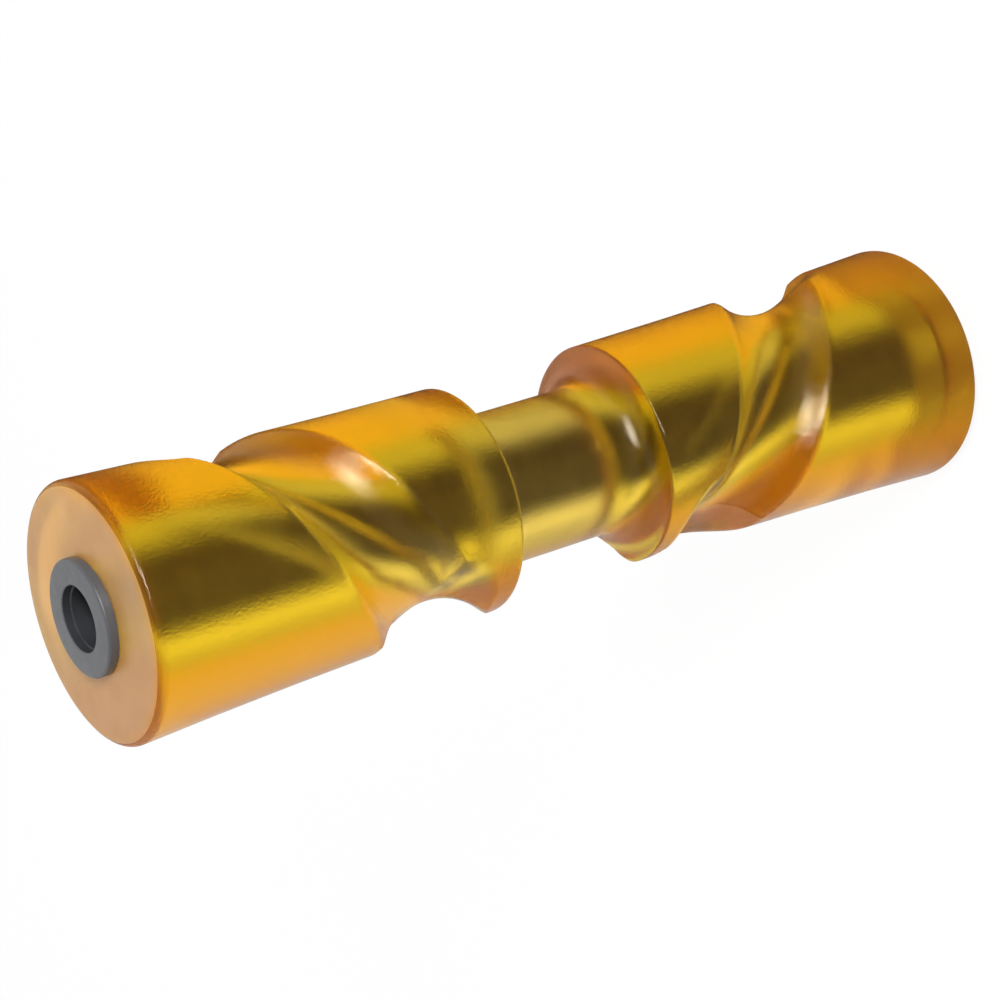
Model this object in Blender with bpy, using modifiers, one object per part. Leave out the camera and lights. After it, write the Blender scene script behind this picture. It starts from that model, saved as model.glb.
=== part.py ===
# Boat trailer roller, self centring: a cast polyurethane body with a waist for the keel
# and two opposed helical grooves, on a steel core tube with a flanged bush in each end.
# Metres, +Z up. It stands on its lower bush, with the origin at the centre of that foot.
import math

import bmesh
import bpy
from mathutils import Vector

# Cast body
BODY_LENGTH = 0.2950
END_RADIUS = 0.0375  # the body is thickest at its outer ends
SHOULDER_RADIUS = 0.0338  # and tapers to this beside the waist
TAPER_POWER = 1.5  # above 1 the taper is slightly hollow
NECK_RADIUS = 0.0228
NECK_LENGTH = 0.0534  # between the two shoulder faces
NECK_FILLET = 0.0090
SHOULDER_ROUND = 0.0012
END_ROUND = 0.0024

# Helical groove, the same in both halves but mirrored, so one is left handed.
# Its angles are counted from -Y towards +X, and it winds outwards as they grow.
GROOVE_CUTTER_RADIUS = 0.0182
GROOVE_ROOT_RADIUS = 0.0248  # from the roller's axis to the bottom of the groove at the waist
GROOVE_RISE = 0.0057  # the bottom comes up this much in one whole turn outwards
GROOVE_RISE_FROM_DEG = -90.0
GROOVE_LEAD = 0.1090  # along the roller for one whole turn
GROOVE_PLACE = 0.0738  # from the middle of the body, where the groove faces -Y
GROOVE_RUN_OUT_FROM_DEG = 130.0  # from here the groove gets shallower
GROOVE_RUN_OUT_TO_DEG = 210.0  # and here it has left the body
GROOVE_STEP_DEG = 7.5

# The mould opens in two halves, drawn off square to a parting plane through the axis.
# Where the groove crosses that plane it is relieved along the draw, so that each half comes free.
FRONT_DRAW_DEG = 17.0
PARTING_FROM_DRAW_DEG = 90.0

# Flanged bush, one pressed into each end of the tube
SHAFT_BORE_RADIUS = 0.0090
MOUTH_STEP = 0.0005  # the bore is a little wider at its mouth
MOUTH_DEPTH = 0.0025
BUSH_WALL = 0.00155
SPIGOT_LENGTH = 0.0240
SPIGOT_CHAMFER = 0.0006
FLANGE_OVERHANG = 0.00335  # past the outside of the tube
FLANGE_THICKNESS = 0.0030
FLANGE_ROUND = 0.0008

# Steel core tube, cast into the body
TUBE_WALL = 0.0026
TUBE_RECESS = 0.0005  # below each end face of the body
TUBE_CHAMFER = 0.0004

FIT_GAP = 0.0003  # between any two pieces that seat on each other
CUT_OVERRUN = 0.0020  # what a cutter stands clear of the body where it enters and leaves

BODY_SEGMENTS = 72
SMALL_SEGMENTS = 48
CORNER_SEGMENTS = 4
FILLET_SEGMENTS = 7
TAPER_SEGMENTS = 8
CUTTER_BEVEL_RESOLUTION = 7
MERGE_DISTANCE = 0.00001  # closes the seam of a turned shape and the caps of a swept one

# Places that follow from the sizes above
HALF_LENGTH = BODY_LENGTH / 2
HALF_NECK = NECK_LENGTH / 2
FOOT_HEIGHT = FLANGE_THICKNESS + FIT_GAP
MID_HEIGHT = FOOT_HEIGHT + HALF_LENGTH
MOUTH_RADIUS = SHAFT_BORE_RADIUS + MOUTH_STEP
SPIGOT_RADIUS = SHAFT_BORE_RADIUS + BUSH_WALL
TUBE_BORE_RADIUS = SPIGOT_RADIUS + FIT_GAP
TUBE_RADIUS = TUBE_BORE_RADIUS + TUBE_WALL
BODY_BORE_RADIUS = TUBE_RADIUS + FIT_GAP
FLANGE_RADIUS = TUBE_RADIUS + FLANGE_OVERHANG
RELIEF_REACH = END_RADIUS + CUT_OVERRUN


def clear_scene():
    for old in list(bpy.data.objects):
        bpy.data.objects.remove(old, do_unlink=True)


def new_collection(name):
    group = bpy.data.collections.new(name)
    bpy.context.scene.collection.children.link(group)
    return group


def new_material(name, colour, roughness, metallic):
    material = bpy.data.materials.new(name)
    material.use_nodes = True
    shader = material.node_tree.nodes["Principled BSDF"]
    shader.inputs["Base Color"].default_value = (*colour, 1.0)
    shader.inputs["Roughness"].default_value = roughness
    shader.inputs["Metallic"].default_value = metallic
    material.diffuse_color = (*colour, 1.0)
    return material


def arc(centre_r, centre_z, radius, from_deg, to_deg, segments):
    """Points (r, z) round a corner of a turned outline, both ends included."""
    points = []
    for i in range(segments + 1):
        angle = math.radians(from_deg + (to_deg - from_deg) * i / segments)
        points.append((centre_r + radius * math.cos(angle), centre_z + radius * math.sin(angle)))
    return points


def line(start, end, segments):
    """Points (r, z) between two corners, neither end included."""
    return [
        (start[0] + (end[0] - start[0]) * i / segments, start[1] + (end[1] - start[1]) * i / segments)
        for i in range(1, segments)
    ]


def turned(name, outline, segments, material, group, parent):
    """A solid of revolution about Z from a closed outline at +X, outer side running down."""
    mesh = bpy.data.meshes.new(name)
    corners = bmesh.new()
    ring = [corners.verts.new((r, 0, z)) for r, z in outline]
    for here, after in zip(ring, ring[1:] + ring[:1]):
        corners.edges.new((here, after))
    corners.to_mesh(mesh)
    corners.free()
    mesh.materials.append(material)
    piece = bpy.data.objects.new(name, mesh)
    group.objects.link(piece)
    piece.parent = parent
    screw = piece.modifiers.new("turn", "SCREW")
    screw.angle = math.tau
    screw.steps = segments
    screw.render_steps = segments
    screw.use_merge_vertices = True
    screw.merge_threshold = MERGE_DISTANCE
    screw.use_smooth_shade = True
    return piece


def body_half_outline():
    """The upper half of the body's outside, from its end face down to the middle of the waist."""
    end_round = min(END_ROUND, END_RADIUS - FLANGE_RADIUS)
    shoulder_round = min(SHOULDER_ROUND, (SHOULDER_RADIUS - NECK_RADIUS) / 2)
    fillet = min(NECK_FILLET, SHOULDER_RADIUS - NECK_RADIUS - shoulder_round)
    end = arc(END_RADIUS - end_round, HALF_LENGTH - end_round, end_round, 90, 0, CORNER_SEGMENTS)
    shoulder = arc(
        SHOULDER_RADIUS - shoulder_round, HALF_NECK + shoulder_round, shoulder_round, 0, -90, CORNER_SEGMENTS
    )
    taper = []
    for r, z in line(end[-1], shoulder[0], TAPER_SEGMENTS):
        along = (z - shoulder[0][1]) / (end[-1][1] - shoulder[0][1])
        taper.append((SHOULDER_RADIUS + (END_RADIUS - SHOULDER_RADIUS) * along**TAPER_POWER, z))
    neck = arc(NECK_RADIUS + fillet, HALF_NECK - fillet, fillet, 90, 180, FILLET_SEGMENTS)
    return end + taper + shoulder + neck


def groove_root(angle_deg):
    """Radius of the groove's bottom: level by the waist, rising outwards, then running out."""
    root = GROOVE_ROOT_RADIUS + GROOVE_RISE * max(angle_deg - GROOVE_RISE_FROM_DEG, 0) / 360
    share = (angle_deg - GROOVE_RUN_OUT_FROM_DEG) / (GROOVE_RUN_OUT_TO_DEG - GROOVE_RUN_OUT_FROM_DEG)
    lifted = (1 - math.cos(math.pi * min(max(share, 0), 1))) / 2
    return root + lifted * (END_RADIUS + CUT_OVERRUN - root)


def groove_point(angle_deg, side):
    """Middle of the round cutter where the groove has this angle."""
    radius = groove_root(angle_deg) + GROOVE_CUTTER_RADIUS
    height = GROOVE_PLACE + GROOVE_LEAD * angle_deg / 360
    angle = math.radians(angle_deg)
    return Vector((radius * math.sin(angle), -radius * math.cos(angle), side * height))


def groove_path(side):
    """Middle line of the groove: a helix that opens into the waist at the back."""
    run_in_deg = -360 * GROOVE_PLACE / GROOVE_LEAD
    steps = math.ceil((GROOVE_RUN_OUT_TO_DEG - run_in_deg) / GROOVE_STEP_DEG)
    run = GROOVE_RUN_OUT_TO_DEG - run_in_deg
    return [groove_point(run_in_deg + run * i / steps, side) for i in range(steps + 1)]


def relief_path(angle_deg, side):
    """Straight line along the mould's draw, through the groove where it meets the parting plane."""
    draw = math.radians(FRONT_DRAW_DEG)
    reach = Vector((math.sin(draw), -math.cos(draw), 0)) * RELIEF_REACH
    middle = groove_point(angle_deg, side)
    return [middle - reach, middle + reach]


def swept_cutter(name, path, radius, group, parent):
    """A round bar along a path, as a closed mesh that a Boolean can use."""
    curve = bpy.data.curves.new(name, "CURVE")
    curve.dimensions = "3D"
    curve.bevel_depth = radius
    curve.bevel_resolution = CUTTER_BEVEL_RESOLUTION
    curve.use_fill_caps = True
    spline = curve.splines.new("POLY")
    spline.points.add(len(path) - 1)
    for point, place in zip(spline.points, path):
        point.co = (*place, 1)
    drawn = bpy.data.objects.new(name + "_path", curve)
    group.objects.link(drawn)
    bpy.context.view_layer.update()
    graph = bpy.context.evaluated_depsgraph_get()
    mesh = bpy.data.meshes.new_from_object(drawn.evaluated_get(graph))
    mesh.name = name
    bar = bmesh.new()
    bar.from_mesh(mesh)
    bmesh.ops.remove_doubles(bar, verts=bar.verts, dist=MERGE_DISTANCE)
    bmesh.ops.recalc_face_normals(bar, faces=bar.faces)
    bar.to_mesh(mesh)
    bar.free()
    cutter = bpy.data.objects.new(name, mesh)
    cutter.matrix_world = drawn.matrix_world
    group.objects.link(cutter)
    bpy.data.objects.remove(drawn, do_unlink=True)
    cutter.parent = parent
    cutter.hide_render = True
    cutter.display_type = "WIRE"
    return cutter


def cut(piece, cutter):
    boolean = piece.modifiers.new(cutter.name, "BOOLEAN")
    boolean.operation = "DIFFERENCE"
    boolean.solver = "EXACT"
    boolean.object = cutter


def roller_body(group, cutters, parent):
    amber = new_material("amber_polyurethane", (0.85, 0.36, 0.02), 0.25, 0.0)
    upper = body_half_outline()
    lower = [(r, -z) for r, z in reversed(upper)]
    bore = [(BODY_BORE_RADIUS, -HALF_LENGTH), (BODY_BORE_RADIUS, HALF_LENGTH)]
    body = turned("roller_body", upper + lower + bore, BODY_SEGMENTS, amber, group, parent)
    for name, side in (("upper_groove", 1), ("lower_groove", -1)):
        cut(body, swept_cutter(name + "_cutter", groove_path(side), GROOVE_CUTTER_RADIUS, cutters, parent))
        for seam, turn in (("left_seam", -1), ("right_seam", 1)):
            path = relief_path(FRONT_DRAW_DEG + turn * PARTING_FROM_DRAW_DEG, side)
            cut(body, swept_cutter(name + "_" + seam + "_relief", path, GROOVE_CUTTER_RADIUS, cutters, parent))
    return body


def core_tube(group, parent):
    steel = new_material("plated_steel", (0.62, 0.61, 0.58), 0.28, 1.0)
    half = HALF_LENGTH - TUBE_RECESS
    outline = [
        (TUBE_BORE_RADIUS + TUBE_CHAMFER, half),
        (TUBE_RADIUS - TUBE_CHAMFER, half),
        (TUBE_RADIUS, half - TUBE_CHAMFER),
        (TUBE_RADIUS, TUBE_CHAMFER - half),
        (TUBE_RADIUS - TUBE_CHAMFER, -half),
        (TUBE_BORE_RADIUS + TUBE_CHAMFER, -half),
        (TUBE_BORE_RADIUS, TUBE_CHAMFER - half),
        (TUBE_BORE_RADIUS, half - TUBE_CHAMFER),
    ]
    return turned("core_tube", outline, SMALL_SEGMENTS, steel, group, parent)


def flanged_bush(name, nylon, turn_deg, group, parent):
    """A bush seated on one end face of the body, turned over for the lower end."""
    seat = HALF_LENGTH + FIT_GAP
    face = seat + FLANGE_THICKNESS
    tip = seat - SPIGOT_LENGTH
    outline = arc(FLANGE_RADIUS - FLANGE_ROUND, face - FLANGE_ROUND, FLANGE_ROUND, 90, 0, CORNER_SEGMENTS)
    outline += [
        (FLANGE_RADIUS, seat),
        (SPIGOT_RADIUS, seat),
        (SPIGOT_RADIUS, tip + SPIGOT_CHAMFER),
        (SPIGOT_RADIUS - SPIGOT_CHAMFER, tip),
        (SHAFT_BORE_RADIUS, tip),
        (SHAFT_BORE_RADIUS, face - MOUTH_DEPTH),
        (MOUTH_RADIUS, face - MOUTH_DEPTH),
        (MOUTH_RADIUS, face),
    ]
    bush = turned(name, outline, SMALL_SEGMENTS, nylon, group, parent)
    bush.rotation_euler.x = math.radians(turn_deg)
    return bush


def main():
    clear_scene()
    bpy.context.scene.unit_settings.system = "METRIC"
    pieces = new_collection("boat_trailer_roller")
    cutters = new_collection("cutters")
    axis = bpy.data.objects.new("roller_axis", None)
    axis.location.z = MID_HEIGHT
    pieces.objects.link(axis)
    roller_body(pieces, cutters, axis)
    core_tube(pieces, axis)
    nylon = new_material("grey_nylon", (0.17, 0.175, 0.19), 0.42, 0.0)
    flanged_bush("upper_bush", nylon, 0, pieces, axis)
    flanged_bush("lower_bush", nylon, 180, pieces, axis)


main()
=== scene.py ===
import math

import bmesh
import bpy
import numpy as np
from mathutils import Matrix, Vector


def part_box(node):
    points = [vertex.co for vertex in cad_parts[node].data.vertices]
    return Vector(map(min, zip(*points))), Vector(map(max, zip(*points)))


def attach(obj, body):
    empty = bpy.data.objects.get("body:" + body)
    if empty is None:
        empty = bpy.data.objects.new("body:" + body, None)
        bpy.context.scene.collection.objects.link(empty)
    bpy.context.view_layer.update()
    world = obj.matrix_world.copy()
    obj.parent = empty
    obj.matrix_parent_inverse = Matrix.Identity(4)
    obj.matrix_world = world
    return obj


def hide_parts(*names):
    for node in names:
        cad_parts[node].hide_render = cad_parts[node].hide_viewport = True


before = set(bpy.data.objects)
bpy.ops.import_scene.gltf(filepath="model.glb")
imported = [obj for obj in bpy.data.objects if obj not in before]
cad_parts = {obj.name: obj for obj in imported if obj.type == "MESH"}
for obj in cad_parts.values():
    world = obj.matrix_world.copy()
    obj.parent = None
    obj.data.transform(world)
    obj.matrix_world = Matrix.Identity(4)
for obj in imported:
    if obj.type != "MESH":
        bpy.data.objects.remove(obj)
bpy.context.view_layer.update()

bodyLow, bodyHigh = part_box("roller_body")
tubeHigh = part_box("core_tube")[1]
bushLow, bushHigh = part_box("upper_bush")
midHeight = (bodyLow[2] + bodyHigh[2]) / 2
halfLength = (bodyHigh[2] - bodyLow[2]) / 2
endRadius = bodyHigh[0]
tubeRadius = tubeHigh[0]
flangeRadius = bushHigh[0]
bushFace = bushHigh[2] - midHeight  # outlines count their heights from the middle of the body
bushTip = bushLow[2] - midHeight


# Small helpers for materials
def addNode(tree, kind, place=(0, 0), **values):
    node = tree.nodes.new(kind)
    node.location = place
    for name, value in values.items():
        setattr(node, name, value)
    return node


def newMaterial(name):
    material = bpy.data.materials.new(name)
    material.use_nodes = True
    tree = material.node_tree
    return material, tree, tree.nodes["Principled BSDF"], tree.nodes["Material Output"]


def objectPattern(tree, stretch=(1, 1, 1)):
    coords = addNode(tree, "ShaderNodeTexCoord", (-1400, 0))
    mapping = addNode(tree, "ShaderNodeMapping", (-1200, 0))
    mapping.inputs["Scale"].default_value = stretch
    tree.links.new(coords.outputs["Object"], mapping.inputs["Vector"])
    return mapping.outputs["Vector"]


def addNoise(tree, vector, scale, detail, roughness=0.5, place=(-900, 0)):
    node = addNode(tree, "ShaderNodeTexNoise", place)
    node.inputs["Scale"].default_value = scale
    node.inputs["Detail"].default_value = detail
    node.inputs["Roughness"].default_value = roughness
    tree.links.new(vector, node.inputs["Vector"])
    return node.outputs["Fac"]


def mapRange(tree, value, low, high, toLow, toHigh, place=(-600, 0)):
    node = addNode(tree, "ShaderNodeMapRange", place)
    for name, number in (("From Min", low), ("From Max", high), ("To Min", toLow), ("To Max", toHigh)):
        node.inputs[name].default_value = number
    tree.links.new(value, node.inputs["Value"])
    return node.outputs["Result"]


def addMath(tree, operation, first, second=None, place=(-300, 0)):
    node = addNode(tree, "ShaderNodeMath", place, operation=operation)
    for value, socket in zip((first, second), node.inputs):
        if isinstance(value, (int, float)):
            socket.default_value = value
        elif value is not None:
            tree.links.new(value, socket)
    return node.outputs["Value"]


def mixColours(tree, share, first, second, place=(-200, 300)):
    node = addNode(tree, "ShaderNodeMix", place, data_type="RGBA")
    tree.links.new(share, node.inputs[0])
    for value, socket in ((first, node.inputs[6]), (second, node.inputs[7])):  # A and B for colours
        if isinstance(value, tuple):
            socket.default_value = value
        else:
            tree.links.new(value, socket)
    return node.outputs[2]


def mixShaders(tree, share, first, second, place=(500, 200)):
    node = addNode(tree, "ShaderNodeMixShader", place)
    for value, socket in zip((share, first, second), node.inputs):
        tree.links.new(value, socket)
    return node.outputs["Shader"]


noiseSpread = (0.3, 0.7)  # most of the noise lies between these


def patchyRoughness(tree, spot, look, shader):
    patch = addNoise(tree, spot, look["patchScale"], look["patchDetail"], place=(-900, 200))
    value = mapRange(tree, patch, *noiseSpread, *look["roughness"], (-600, 200))
    tree.links.new(value, shader.inputs["Roughness"])


def grainySkin(tree, spot, look, shader):
    scale, detail, roughness = look["grainScale"], look["grainDetail"], look["grainRoughness"]
    grain = addNoise(tree, spot, scale, detail, roughness, (-900, -200))
    bump = addNode(tree, "ShaderNodeBump", (-300, -300))
    bump.inputs["Distance"].default_value = look["grainDepth"]
    tree.links.new(grain, bump.inputs["Height"])
    tree.links.new(bump.outputs["Normal"], shader.inputs["Normal"])


# And for meshes
def arcPoints(centreR, centreZ, radius, fromDeg, toDeg, steps):
    points = []
    for i in range(steps + 1):
        angle = math.radians(fromDeg + (toDeg - fromDeg) * i / steps)
        points.append((centreR + radius * math.cos(angle), centreZ + radius * math.sin(angle)))
    return points


def linePoints(start, end, steps):  # neither end included
    return [
        (start[0] + (end[0] - start[0]) * i / steps, start[1] + (end[1] - start[1]) * i / steps)
        for i in range(1, steps)
    ]


mergeWithin = 0.000002


def spunMesh(outline, steps):
    bm = bmesh.new()
    ring = [bm.verts.new((r, 0, z + midHeight)) for r, z in outline]
    edges = [bm.edges.new((a, b)) for a, b in zip(ring, ring[1:] + ring[:1])]
    bmesh.ops.spin(
        bm, geom=ring + edges, cent=(0, 0, 0), axis=(0, 0, 1),
        angle=math.tau, steps=steps, use_merge=True,
    )
    bmesh.ops.remove_doubles(bm, verts=bm.verts, dist=mergeWithin)
    bmesh.ops.recalc_face_normals(bm, faces=bm.faces)
    return bm


def finishPiece(name, bm, materials, smoothUnderDeg=None):
    mesh = bpy.data.meshes.new(name)
    bm.to_mesh(mesh)
    bm.free()
    for material in materials:
        mesh.materials.append(material)
    mesh.shade_smooth()
    if smoothUnderDeg is not None:
        mesh.set_sharp_from_angle(angle=math.radians(smoothUnderDeg))
    piece = bpy.data.objects.new(name, mesh)
    bpy.context.scene.collection.objects.link(piece)
    return piece


# Amber body
bodyForm = {
    "steps": 280,  # round the axis, an even number
    "shoulderRadius": 0.0338,
    "radiusAt": ((0.060, 0.03442), (0.095, 0.03536), (0.122, 0.03636)),  # distance from the middle, radius
    "neckRadius": 0.0228,
    "halfNeck": 0.0268,
    "neckFillet": 0.0094,
    "shoulderRound": 0.0009,
    "shoulderDeg": 86,  # how steeply the faces beside the waist stand
    "endRound": 0.0026,
    "rowHeight": 0.00095,
    "neckRows": 20,
    "filletSteps": 14,
    "shoulderSteps": 4,
    "endSteps": 7,
    "endRings": 6,
    "tubeOverlap": 0.00004,  # the casting grips the tube, with no air between them
    "leastOverTube": 0.004,  # what the groove leaves over the tube
    "partingDeg": -73.0,  # where the two halves of the mould met; the other seam is opposite
    "seamHeight": 0.000012,
    "seamWidthDeg": 0.35,
    "plateHeight": 0.00014,  # the bare plate on the waist
    "plate": (-1.4, 49.0, -0.0032, 0.0127),  # from and to, in degrees and along the roller
    "sawnWithin": 0.0002,  # of each end face
    "smoothUnderDeg": 60,
}

# The groove is counted by angle from -Y towards +X, and winds outwards as it grows
grooveForm = {
    "cutterRadius": 0.0182,
    "rootRadius": 0.0248,
    "rootAt": -90.0,  # where the root has that radius
    "rootRise": 0.00566,  # in one turn
    "rootOverNeck": 0.0002,  # at least
    "lead": 0.1091,
    "place": 0.0742,  # height where it faces -Y
    "farShift": -0.0009,  # the lower half's groove sits this much nearer the waist
    "runOutFrom": 130.0,
    "runOutTo": 210.0,
    "runOutClear": 0.002,  # outside the body where the groove has ended
    "rimRound": 0.0026,  # how far the rim is softened
    "step": 3.0,
}


def upperOutline(form):
    shoulder, neck = form["shoulderRadius"], form["neckRadius"]
    half, fillet = form["halfNeck"], form["neckFillet"]
    rounded, endRound, steep = form["shoulderRound"], form["endRound"], form["shoulderDeg"]
    inner = tubeRadius - form["tubeOverlap"]
    end = arcPoints(endRadius - endRound, halfLength - endRound, endRound, 90, 0, form["endSteps"])
    points = [(inner, halfLength)] + linePoints((inner, halfLength), end[0], form["endRings"]) + end
    marks = [end[-1]] + [(r, z) for z, r in reversed(form["radiusAt"])] + [(shoulder, half + rounded)]
    for start, stop in zip(marks, marks[1:]):
        steps = max(2, round((start[1] - stop[1]) / form["rowHeight"]))
        points += linePoints(start, stop, steps) + [stop]
    points += arcPoints(shoulder - rounded, half + rounded, rounded, 0, -steep, form["shoulderSteps"])[1:]
    points += arcPoints(neck + fillet, half - fillet, fillet, steep, 180, form["filletSteps"])
    points += linePoints((neck, half - fillet), (neck, 0), form["neckRows"])
    return points


def groovePath(form, shift):
    run = np.arange(-360 * form["place"] / form["lead"], form["runOutTo"], form["step"])
    height = form["place"] + shift + form["lead"] * run / 360
    root = form["rootRadius"] + form["rootRise"] * (run - form["rootAt"]) / 360
    root = np.maximum(root, bodyForm["neckRadius"] + form["rootOverNeck"])
    share = np.clip((run - form["runOutFrom"]) / (form["runOutTo"] - form["runOutFrom"]), 0, 1)
    root = root + (1 - np.cos(np.pi * share)) / 2 * (endRadius + form["runOutClear"] - root)
    return np.radians(run), height, root + form["cutterRadius"]


# How far out the groove begins at each point. Each half of the mould is pulled straight off,
# so the groove is open along that pull: a round bar swept along the helix, then outwards.
def grooveStart(angle, height, form, shift):
    size = form["cutterRadius"]
    farOut, leastTilt, seamSlack = 1.0, 1e-6, 1e-9
    start = np.full(angle.shape, farOut)
    for pull in (math.radians(bodyForm["partingDeg"] + 90), math.radians(bodyForm["partingDeg"] - 90)):
        mine = np.cos(angle - pull) > -seamSlack
        turned, high = (angle - pull)[mine], height[mine]
        ahead, aside = np.maximum(np.cos(turned), 0), np.sin(turned)
        tilt = np.maximum(np.abs(aside), leastTilt)
        best = start[mine]
        for run, pathHeight, pathRadius in zip(*groovePath(form, shift)):
            along, across = pathRadius * math.cos(run - pull), pathRadius * math.sin(run - pull)
            wide = size ** 2 - min(along, 0) ** 2 - (high - pathHeight) ** 2
            if along < -size or not (wide > 0).any():
                continue
            inside = wide - (pathRadius * np.sin(turned + pull - run)) ** 2
            near = pathRadius * np.cos(turned + pull - run) - np.sqrt(np.maximum(inside, 0))
            byRound = (inside > 0) & (wide > 0) & (along > 0) & (near > 0) & (near * ahead <= along)
            wall = (np.sign(aside) * across - np.sqrt(np.maximum(wide, 0))) / tilt
            byWall = (wide > 0) & (wall > 0) & (wall * ahead >= along)
            best = np.where(byRound, np.minimum(best, near), best)
            best = np.where(byWall, np.minimum(best, wall), best)
        start[mine] = best
    return start


def carve(bm, form, body):
    verts = list(bm.verts)
    place = np.array([v.co for v in verts])
    angle = np.arctan2(place[:, 0], -place[:, 1])
    radius = np.hypot(place[:, 0], place[:, 1])
    away = place[:, 2] - midHeight
    least = tubeRadius + body["leastOverTube"]
    skin = radius > least
    carved = radius.copy()
    soft = form["rimRound"]
    for side, shift in ((1, 0.0), (-1, form["farShift"])):
        mine = skin & (away * side >= 0)
        start = grooveStart(angle[mine], np.abs(away[mine]), form, shift)
        blend = np.maximum(soft - np.abs(radius[mine] - start), 0) / soft
        carved[mine] = np.maximum(np.minimum(radius[mine], start) - blend * blend * soft / 4, least)
    # the mould's seams: the column of points on each is raised, with its neighbours drawn close
    step = math.tau / body["steps"]
    outer = skin & (np.abs(away) < halfLength - body["endRound"])
    for seam in (math.radians(body["partingDeg"]), math.radians(body["partingDeg"] + 180)):
        off = (angle - seam + math.pi) % math.tau - math.pi
        column = np.round(off / step)
        carved[outer & (column == 0)] += body["seamHeight"]
        beside = outer & (np.abs(column) == 1)
        angle[beside] += (column * math.radians(body["seamWidthDeg"]) - off)[beside]
    fromDeg, toDeg, low, high = body["plate"]
    turn = np.degrees(angle)
    plate = (turn > fromDeg) & (turn < toDeg) & (away > low) & (away < high) & skin
    carved[plate] += body["plateHeight"]
    for vert, r, a in zip(verts, carved, angle):
        vert.co.x, vert.co.y = r * math.sin(a), -r * math.cos(a)


amberLook = {
    "tint": (1.0, 0.54, 0.34, 1),  # what the satin skin takes from light that goes in and out
    "glossTint": (1.0, 0.88, 0.7, 1),
    "ior": 1.5,
    "roughness": (0.08, 0.13),
    "patchScale": 60,
    "patchDetail": 3,
    "grainScale": 1100,
    "grainDetail": 3,
    "grainRoughness": 0.65,
    "grainDepth": 0.00014,
    "depthColour": (0.992, 0.950, 0.0, 1),  # what the depth takes, red least and blue most
    "depthDensity": 60,
    "milk": (1.0, 0.5, 0.12, 1),
    "milkShare": 0.05,
    "rimMilk": 0.45,  # the rounded end is milkier than the rest
    "rimFrom": 0.0034,  # from the end
}

sawnLook = {
    "tint": (0.73, 0.37, 0.10, 1),
    "pale": (0.79, 0.43, 0.15, 1),
    # painted glow: the end face turns a brighter orange towards its edge
    "rim": (0.88, 0.42, 0.06, 1),
    "rimFrom": 0.0325,  # radius at which the painted glow of the rim begins
    "clear": 0.5,
    "roughness": 0.30,
    "patchScale": 90,
    "patchDetail": 4,
    "patchSpread": (0.35, 0.65),
    "grainScale": 1500,
    "grainDetail": 3,
    "grainRoughness": 0.5,
    "grainDepth": 0.00008,
}


def amberDepth(tree, output):
    volume = addNode(tree, "ShaderNodeVolumeAbsorption", (0, -300))
    volume.inputs["Color"].default_value = amberLook["depthColour"]
    volume.inputs["Density"].default_value = amberLook["depthDensity"]
    tree.links.new(volume.outputs["Volume"], output.inputs["Volume"])


def amberMaterial():
    look = amberLook
    material, tree, shader, output = newMaterial("castAmber")
    spot = objectPattern(tree)
    shader.inputs["Base Color"].default_value = look["tint"]
    shader.inputs["Transmission Weight"].default_value = 1.0
    shader.inputs["Specular Tint"].default_value = look["glossTint"]
    shader.inputs["IOR"].default_value = look["ior"]
    patchyRoughness(tree, spot, look, shader)
    grainySkin(tree, spot, look, shader)
    # the cast resin is slightly milky, so some light comes out of it in every direction
    milk = addNode(tree, "ShaderNodeBsdfTranslucent", (0, 300))
    milk.inputs["Color"].default_value = look["milk"]
    height = addNode(tree, "ShaderNodeSeparateXYZ", (-900, 500))
    tree.links.new(spot, height.inputs["Vector"])
    away = addMath(tree, "SUBTRACT", height.outputs["Z"], midHeight, (-700, 500))
    away = addMath(tree, "ABSOLUTE", away, place=(-500, 500))
    rimFrom = halfLength - look["rimFrom"]
    share = mapRange(tree, away, rimFrom, halfLength, look["milkShare"], look["rimMilk"], (-300, 500))
    surface = mixShaders(tree, share, shader.outputs["BSDF"], milk.outputs["BSDF"])
    tree.links.new(surface, output.inputs["Surface"])
    amberDepth(tree, output)
    return material


def sawnMaterial():
    look = sawnLook
    material, tree, shader, output = newMaterial("sawnAmber")
    spot = objectPattern(tree)
    patch = addNoise(tree, spot, look["patchScale"], look["patchDetail"], place=(-900, 300))
    paleShare = mapRange(tree, patch, *look["patchSpread"], 0, 1, (-600, 300))
    mottle = mixColours(tree, paleShare, look["tint"], look["pale"], (-400, 300))
    # painted glow: the face is coloured brighter and more orange towards its edge
    radius = addNode(tree, "ShaderNodeVectorMath", (-900, 600), operation="LENGTH")
    tree.links.new(objectPattern(tree, (1, 1, 0)), radius.inputs[0])
    rimGlowShare = mapRange(tree, radius.outputs["Value"], look["rimFrom"], endRadius, 0, 1, (-600, 600))
    tree.links.new(mixColours(tree, rimGlowShare, mottle, look["rim"]), shader.inputs["Base Color"])
    shader.inputs["Transmission Weight"].default_value = look["clear"]
    shader.inputs["IOR"].default_value = amberLook["ior"]
    shader.inputs["Roughness"].default_value = look["roughness"]
    grainySkin(tree, spot, look, shader)
    amberDepth(tree, output)
    return material


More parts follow.
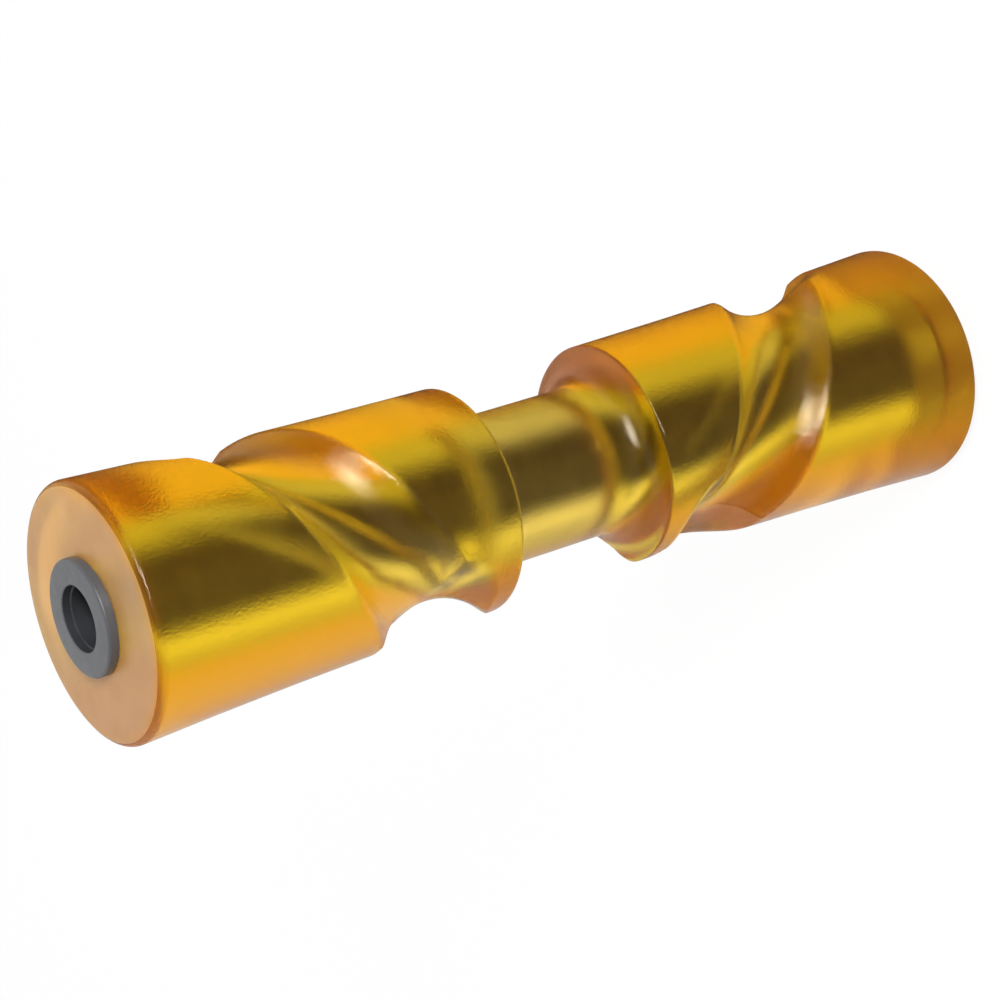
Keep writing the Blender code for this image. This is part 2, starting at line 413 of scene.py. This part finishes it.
def makeBody():
    form = bodyForm
    upper = upperOutline(form)
    outline = upper + [(form["neckRadius"], 0)] + [(r, -z) for r, z in reversed(upper)]
    bm = spunMesh(outline, form["steps"])
    # turned so that one column of points lies on each mould seam
    turn = Matrix.Rotation(math.radians(form["partingDeg"] - 90), 3, "Z")
    bmesh.ops.rotate(bm, verts=bm.verts, cent=(0, 0, 0), matrix=turn)
    carve(bm, grooveForm, form)
    bmesh.ops.recalc_face_normals(bm, faces=bm.faces)
    for face in bm.faces:
        away = abs(face.calc_center_median().z - midHeight)
        face.material_index = 1 if away > halfLength - form["sawnWithin"] else 0
    body = finishPiece("amberBody", bm, [amberMaterial(), sawnMaterial()], form["smoothUnderDeg"])
    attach(body, "root")
    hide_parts("roller_body")
    print("amber body", len(body.data.polygons), "faces")


# Steel core tube
tubeForm = {
    "steps": 160,
    "wall": 0.0026,
    "chamfer": 0.0004,
    "rows": 12,
    "smoothUnderDeg": 30,
}

steelLook = {
    "colour": (0.72, 1.0, 0.95, 1),
    "roughness": (0.14, 0.22),
    "patchScale": 120,
    "patchDetail": 4,
}


def steelMaterial():
    material, tree, shader = newMaterial("platedSteel")[:3]
    shader.inputs["Base Color"].default_value = steelLook["colour"]
    shader.inputs["Metallic"].default_value = 1.0
    patchyRoughness(tree, objectPattern(tree), steelLook, shader)
    return material


def makeTube():
    form = tubeForm
    outer, inner, chamfer = tubeRadius, tubeRadius - form["wall"], form["chamfer"]
    half = tubeHigh[2] - midHeight
    upper = [(inner + chamfer, half), (outer - chamfer, half), (outer, half - chamfer)]
    lower = [(outer, chamfer - half), (outer - chamfer, -half)]
    lower += [(inner + chamfer, -half), (inner, chamfer - half)]
    outline = upper + linePoints(upper[-1], lower[0], form["rows"]) + lower + [(inner, half - chamfer)]
    bm = spunMesh(outline, form["steps"])
    tube = finishPiece("steelTube", bm, [steelMaterial()], form["smoothUnderDeg"])
    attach(tube, "root")
    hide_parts("core_tube")
    print("steel tube", len(tube.data.polygons), "faces")


# Flanged bushes
bushForm = {
    "steps": 160,
    "flangeRound": 0.0008,
    "roundSteps": 8,
    "seatGap": 0.0003,  # between the flange and the body's end
    "spigotRadius": 0.01055,
    "spigotChamfer": 0.0006,
    "boreRadius": 0.0090,
    "mouthRadius": 0.0095,
    "mouthDepth": 0.0025,
    "edge": 0.00025,
    "shadePastMouth": 0.0001,  # the bore's painted shade reaches this far over its edge
    "smoothUnderDeg": 35,
}

nylonLook = {
    "colour": (0.084, 0.087, 0.095, 1),
    "boreShadeColour": (0.035, 0.036, 0.040, 1),  # painted shade: the bore is coloured darker to stand in for the shade in the hole
    "roughness": (0.30, 0.42),
    "patchScale": 300,
    "patchDetail": 4,
    "grainScale": 2500,
    "grainDetail": 2,
    "grainRoughness": 0.5,
    "grainDepth": 0.00002,
}


def nylonMaterial(name, colour):
    material, tree, shader = newMaterial(name)[:3]
    spot = objectPattern(tree)
    shader.inputs["Base Color"].default_value = colour
    patchyRoughness(tree, spot, nylonLook, shader)
    grainySkin(tree, spot, nylonLook, shader)
    return material


def makeBush(name, node, side, materials):
    form = bushForm
    seat, mouthFoot = halfLength + form["seatGap"], bushFace - form["mouthDepth"]
    flangeRound, chamfer, edge = form["flangeRound"], form["spigotChamfer"], form["edge"]
    spigot, bore, mouth = form["spigotRadius"], form["boreRadius"], form["mouthRadius"]
    roundR, roundZ = flangeRadius - flangeRound, bushFace - flangeRound
    outline = arcPoints(roundR, roundZ, flangeRound, 90, 0, form["roundSteps"])
    outline += [(flangeRadius, seat), (spigot, seat), (spigot, bushTip + chamfer)]
    outline += [(spigot - chamfer, bushTip), (bore, bushTip), (bore, mouthFoot - edge)]
    outline += [(bore + edge, mouthFoot), (mouth, mouthFoot)]
    outline += [(mouth, bushFace - edge), (mouth + edge, bushFace)]
    bm = spunMesh(outline, form["steps"])
    if side < 0:
        turn = Matrix.Rotation(math.pi, 3, "X")
        bmesh.ops.rotate(bm, verts=bm.verts, cent=(0, 0, midHeight), matrix=turn)
    # faces in the bore take the darker nylon, which is painted shade
    for face in bm.faces:
        centre = face.calc_center_median()
        inBore = math.hypot(centre.x, centre.y) < mouth + form["shadePastMouth"]
        face.material_index = 1 if inBore else 0
    bush = finishPiece(name, bm, materials, form["smoothUnderDeg"])
    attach(bush, "root")
    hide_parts(node)
    print(name, len(bush.data.polygons), "faces")


# Camera and lamp
cameraForm = {
    "place": (0.0, -0.70763, 0.45360),  # heights from the middle of the body
    "aim": (-0.00360, 0.0, 0.01233),
    "rollDeg": -107.573,
    "lens": 102.08,
    "sensor": 36,
    "nearest": 0.01,
}

lampForm = {
    "place": (0.29, -0.79, 0.70),  # height from the floor
    "across": 0.46,
    "down": 0.24,
    "power": 9.0,
}


def placeFacing(thing, place, aim, rollDeg=0.0):
    look = (aim - place).to_track_quat("-Z", "Y").to_matrix()
    turned = look @ Matrix.Rotation(math.radians(rollDeg), 3, "Z")
    thing.matrix_world = Matrix.Translation(place) @ turned.to_4x4()
    bpy.context.scene.collection.objects.link(thing)


def addCamera():
    data = bpy.data.cameras.new("camera")
    data.lens = cameraForm["lens"]
    data.sensor_width = cameraForm["sensor"]
    data.clip_start = cameraForm["nearest"]
    camera = bpy.data.objects.new("camera", data)
    middle = Vector((0, 0, midHeight))
    place, aim = Vector(cameraForm["place"]) + middle, Vector(cameraForm["aim"]) + middle
    placeFacing(camera, place, aim, cameraForm["rollDeg"])
    bpy.context.scene.camera = camera


def addLamp():
    data = bpy.data.lights.new("key", "AREA")
    data.energy = lampForm["power"]
    data.shape = "ELLIPSE"
    data.size = lampForm["across"]
    data.size_y = lampForm["down"]
    lamp = bpy.data.objects.new("key", data)
    lamp.visible_transmission = False
    placeFacing(lamp, Vector(lampForm["place"]), Vector((0, 0, midHeight)))
    print("camera and lamp")


# Light of the room round the roller, as (angle from -Y towards +X, level). The first band is
# the whole room. Each other one lies between two heights, given as sines, and fades at both.
roomForm = {
    "whole": {
        "light": 1.1,
        "levels": ((-180, 0.85), (-105, 0.95), (-80, 0.64), (-50, 0.48), (60, 0.48), (90, 0.56),
                   (135, 0.85), (180, 0.85)),
    },
    "aboveHorizon": {  # dark on the camera's side
        "light": 1.1,
        "top": (0.86, 0.76),
        "foot": (0.40, 0.50),
        "levels": ((-180, 0.85), (-120, 0.90), (-100, 0.50), (-70, 0.08), (90, 0.08), (115, 0.45),
                   (135, 0.85), (180, 0.85)),
    },
    "belowHorizon": {  # and darker still
        "light": 1.6,
        "top": (-0.08, -0.20),
        "foot": (-1.0, -0.95),
        "levels": ((-180, 0.59), (-135, 0.66), (-125, 0.90), (-108, 1.0), (-95, 0.84), (-80, 0.42),
                   (-66, 0.12), (-50, 0.035), (-15, 0.035), (0, 0.03), (30, 0.01), (50, 0.01),
                   (64, 0.05), (78, 0.18), (92, 0.33), (108, 0.52), (122, 0.60), (150, 0.58),
                   (180, 0.59)),
    },
}


def roundTheRoller(tree, coords, levels):
    quarter = addNode(tree, "ShaderNodeMapping", (-900, 0))
    quarter.inputs["Rotation"].default_value = (0, 0, math.pi / 2)
    around = addNode(tree, "ShaderNodeTexGradient", (-700, 0), gradient_type="RADIAL")
    ramp = addNode(tree, "ShaderNodeValToRGB", (-500, 0))
    stops = ramp.color_ramp.elements
    for deg, level in levels[1:-1]:
        stops.new(deg / 360 + 0.5).color = (level, level, level, 1)
    for stop, (deg, level) in ((stops[0], levels[0]), (stops[len(stops) - 1], levels[-1])):
        stop.position = deg / 360 + 0.5
        stop.color = (level, level, level, 1)
    tree.links.new(coords, quarter.inputs["Vector"])
    tree.links.new(quarter.outputs["Vector"], around.inputs["Vector"])
    tree.links.new(around.outputs["Fac"], ramp.inputs["Fac"])
    return ramp.outputs["Color"]


def bandGlow(tree, coords, band):
    glow = addNode(tree, "ShaderNodeBackground", (200, -200))
    glow.inputs["Strength"].default_value = band["light"]
    tree.links.new(roundTheRoller(tree, coords, band["levels"]), glow.inputs["Color"])
    return glow.outputs["Background"]


def addWorld():
    world = bpy.data.worlds.new("studio")
    bpy.context.scene.world = world
    world.use_nodes = True
    tree = world.node_tree
    tree.nodes.clear()
    coords = addNode(tree, "ShaderNodeTexCoord", (-1100, 0)).outputs["Generated"]
    split = addNode(tree, "ShaderNodeSeparateXYZ", (-900, -300))
    tree.links.new(coords, split.inputs["Vector"])
    room = bandGlow(tree, coords, roomForm["whole"])
    for band in (roomForm["aboveHorizon"], roomForm["belowHorizon"]):
        below = mapRange(tree, split.outputs["Z"], *band["top"], 0, 1, (-600, -300))
        above = mapRange(tree, split.outputs["Z"], *band["foot"], 0, 1, (-600, -500))
        within = addMath(tree, "MULTIPLY", below, above, (-300, -400))
        room = mixShaders(tree, within, room, bandGlow(tree, coords, band), (500, -200))
    seen = addNode(tree, "ShaderNodeBackground", (400, 100))  # plain white for the camera
    seen.inputs["Color"].default_value = (1, 1, 1, 1)
    paths = addNode(tree, "ShaderNodeLightPath", (300, 300))
    surface = mixShaders(tree, paths.outputs["Is Camera Ray"], room, seen.outputs["Background"], (700, 0))
    output = addNode(tree, "ShaderNodeOutputWorld", (900, 0))
    tree.links.new(surface, output.inputs["Surface"])
    print("room light")


floorForm = {
    "halfWidth": 6,
    "colour": (0.85, 0.85, 0.85, 1),
    "roughness": 0.9,
    "glow": 1.06,
    "glowShare": 0.85,
}

# The lit table round the roller, seen only in its gloss
tableForm = {
    "halfWidth": 5,
    "height": 0.002,
    "light": 1.25,
    "levels": ((-180, 0.50), (-100, 0.50), (-60, 0.20), (0, 0.17), (60, 0.09), (100, 0.04), (180, 0.04)),
}


def flatSheet(name, halfWidth, height, material):
    bm = bmesh.new()
    bmesh.ops.create_grid(bm, x_segments=1, y_segments=1, size=halfWidth)
    bmesh.ops.translate(bm, vec=(0, 0, height), verts=bm.verts)
    sheet = finishPiece(name, bm, [material])
    sheet.visible_transmission = False
    return sheet


def addFloor():
    form = floorForm
    material, tree, shader, output = newMaterial("paleFloor")
    shader.inputs["Base Color"].default_value = form["colour"]
    shader.inputs["Roughness"].default_value = form["roughness"]
    glow = addNode(tree, "ShaderNodeEmission", (0, 300))
    glow.inputs["Strength"].default_value = form["glow"]
    paths = addNode(tree, "ShaderNodeLightPath", (-600, 500)).outputs
    seen = addMath(tree, "MAXIMUM", paths["Is Camera Ray"], paths["Is Glossy Ray"], (-300, 500))
    seen = addMath(tree, "MAXIMUM", seen, paths["Is Transmission Ray"], (-100, 500))
    share = addMath(tree, "MULTIPLY", seen, form["glowShare"], (100, 500))
    surface = mixShaders(tree, share, shader.outputs["BSDF"], glow.outputs["Emission"])
    tree.links.new(surface, output.inputs["Surface"])
    floor = flatSheet("floor", form["halfWidth"], 0, material)


def addTable():
    form = tableForm
    material, tree, shader, output = newMaterial("tableGloss")
    tree.nodes.remove(shader)
    coords = addNode(tree, "ShaderNodeTexCoord", (-1100, 0))
    glow = addNode(tree, "ShaderNodeEmission", (-200, 0))
    glow.inputs["Strength"].default_value = form["light"]
    tree.links.new(roundTheRoller(tree, coords.outputs["Object"], form["levels"]), glow.inputs["Color"])
    tree.links.new(glow.outputs["Emission"], output.inputs["Surface"])
    table = flatSheet("tableGloss", form["halfWidth"], form["height"], material)
    table.visible_camera = False
    table.visible_diffuse = False
    table.visible_shadow = False
    print("floor and table")


makeBody()
makeTube()
nylon = [
    nylonMaterial("greyNylon", nylonLook["colour"]),
    # the second nylon is darker, painted shade for the bore
    nylonMaterial("boreShadeNylon", nylonLook["boreShadeColour"]),
]
makeBush("upperBush", "upper_bush", 1, nylon)
makeBush("lowerBush", "lower_bush", -1, nylon)
addCamera()
addLamp()
addWorld()
addFloor()
addTable()
bpy.context.scene.view_settings.view_transform = "Standard"
# light turns back many times inside the amber before it comes out
turnsInside, turnsInAll = 20, 24
bpy.context.scene.cycles.glossy_bounces = turnsInside
bpy.context.scene.cycles.transmission_bounces = turnsInside
bpy.context.scene.cycles.max_bounces = turnsInAll
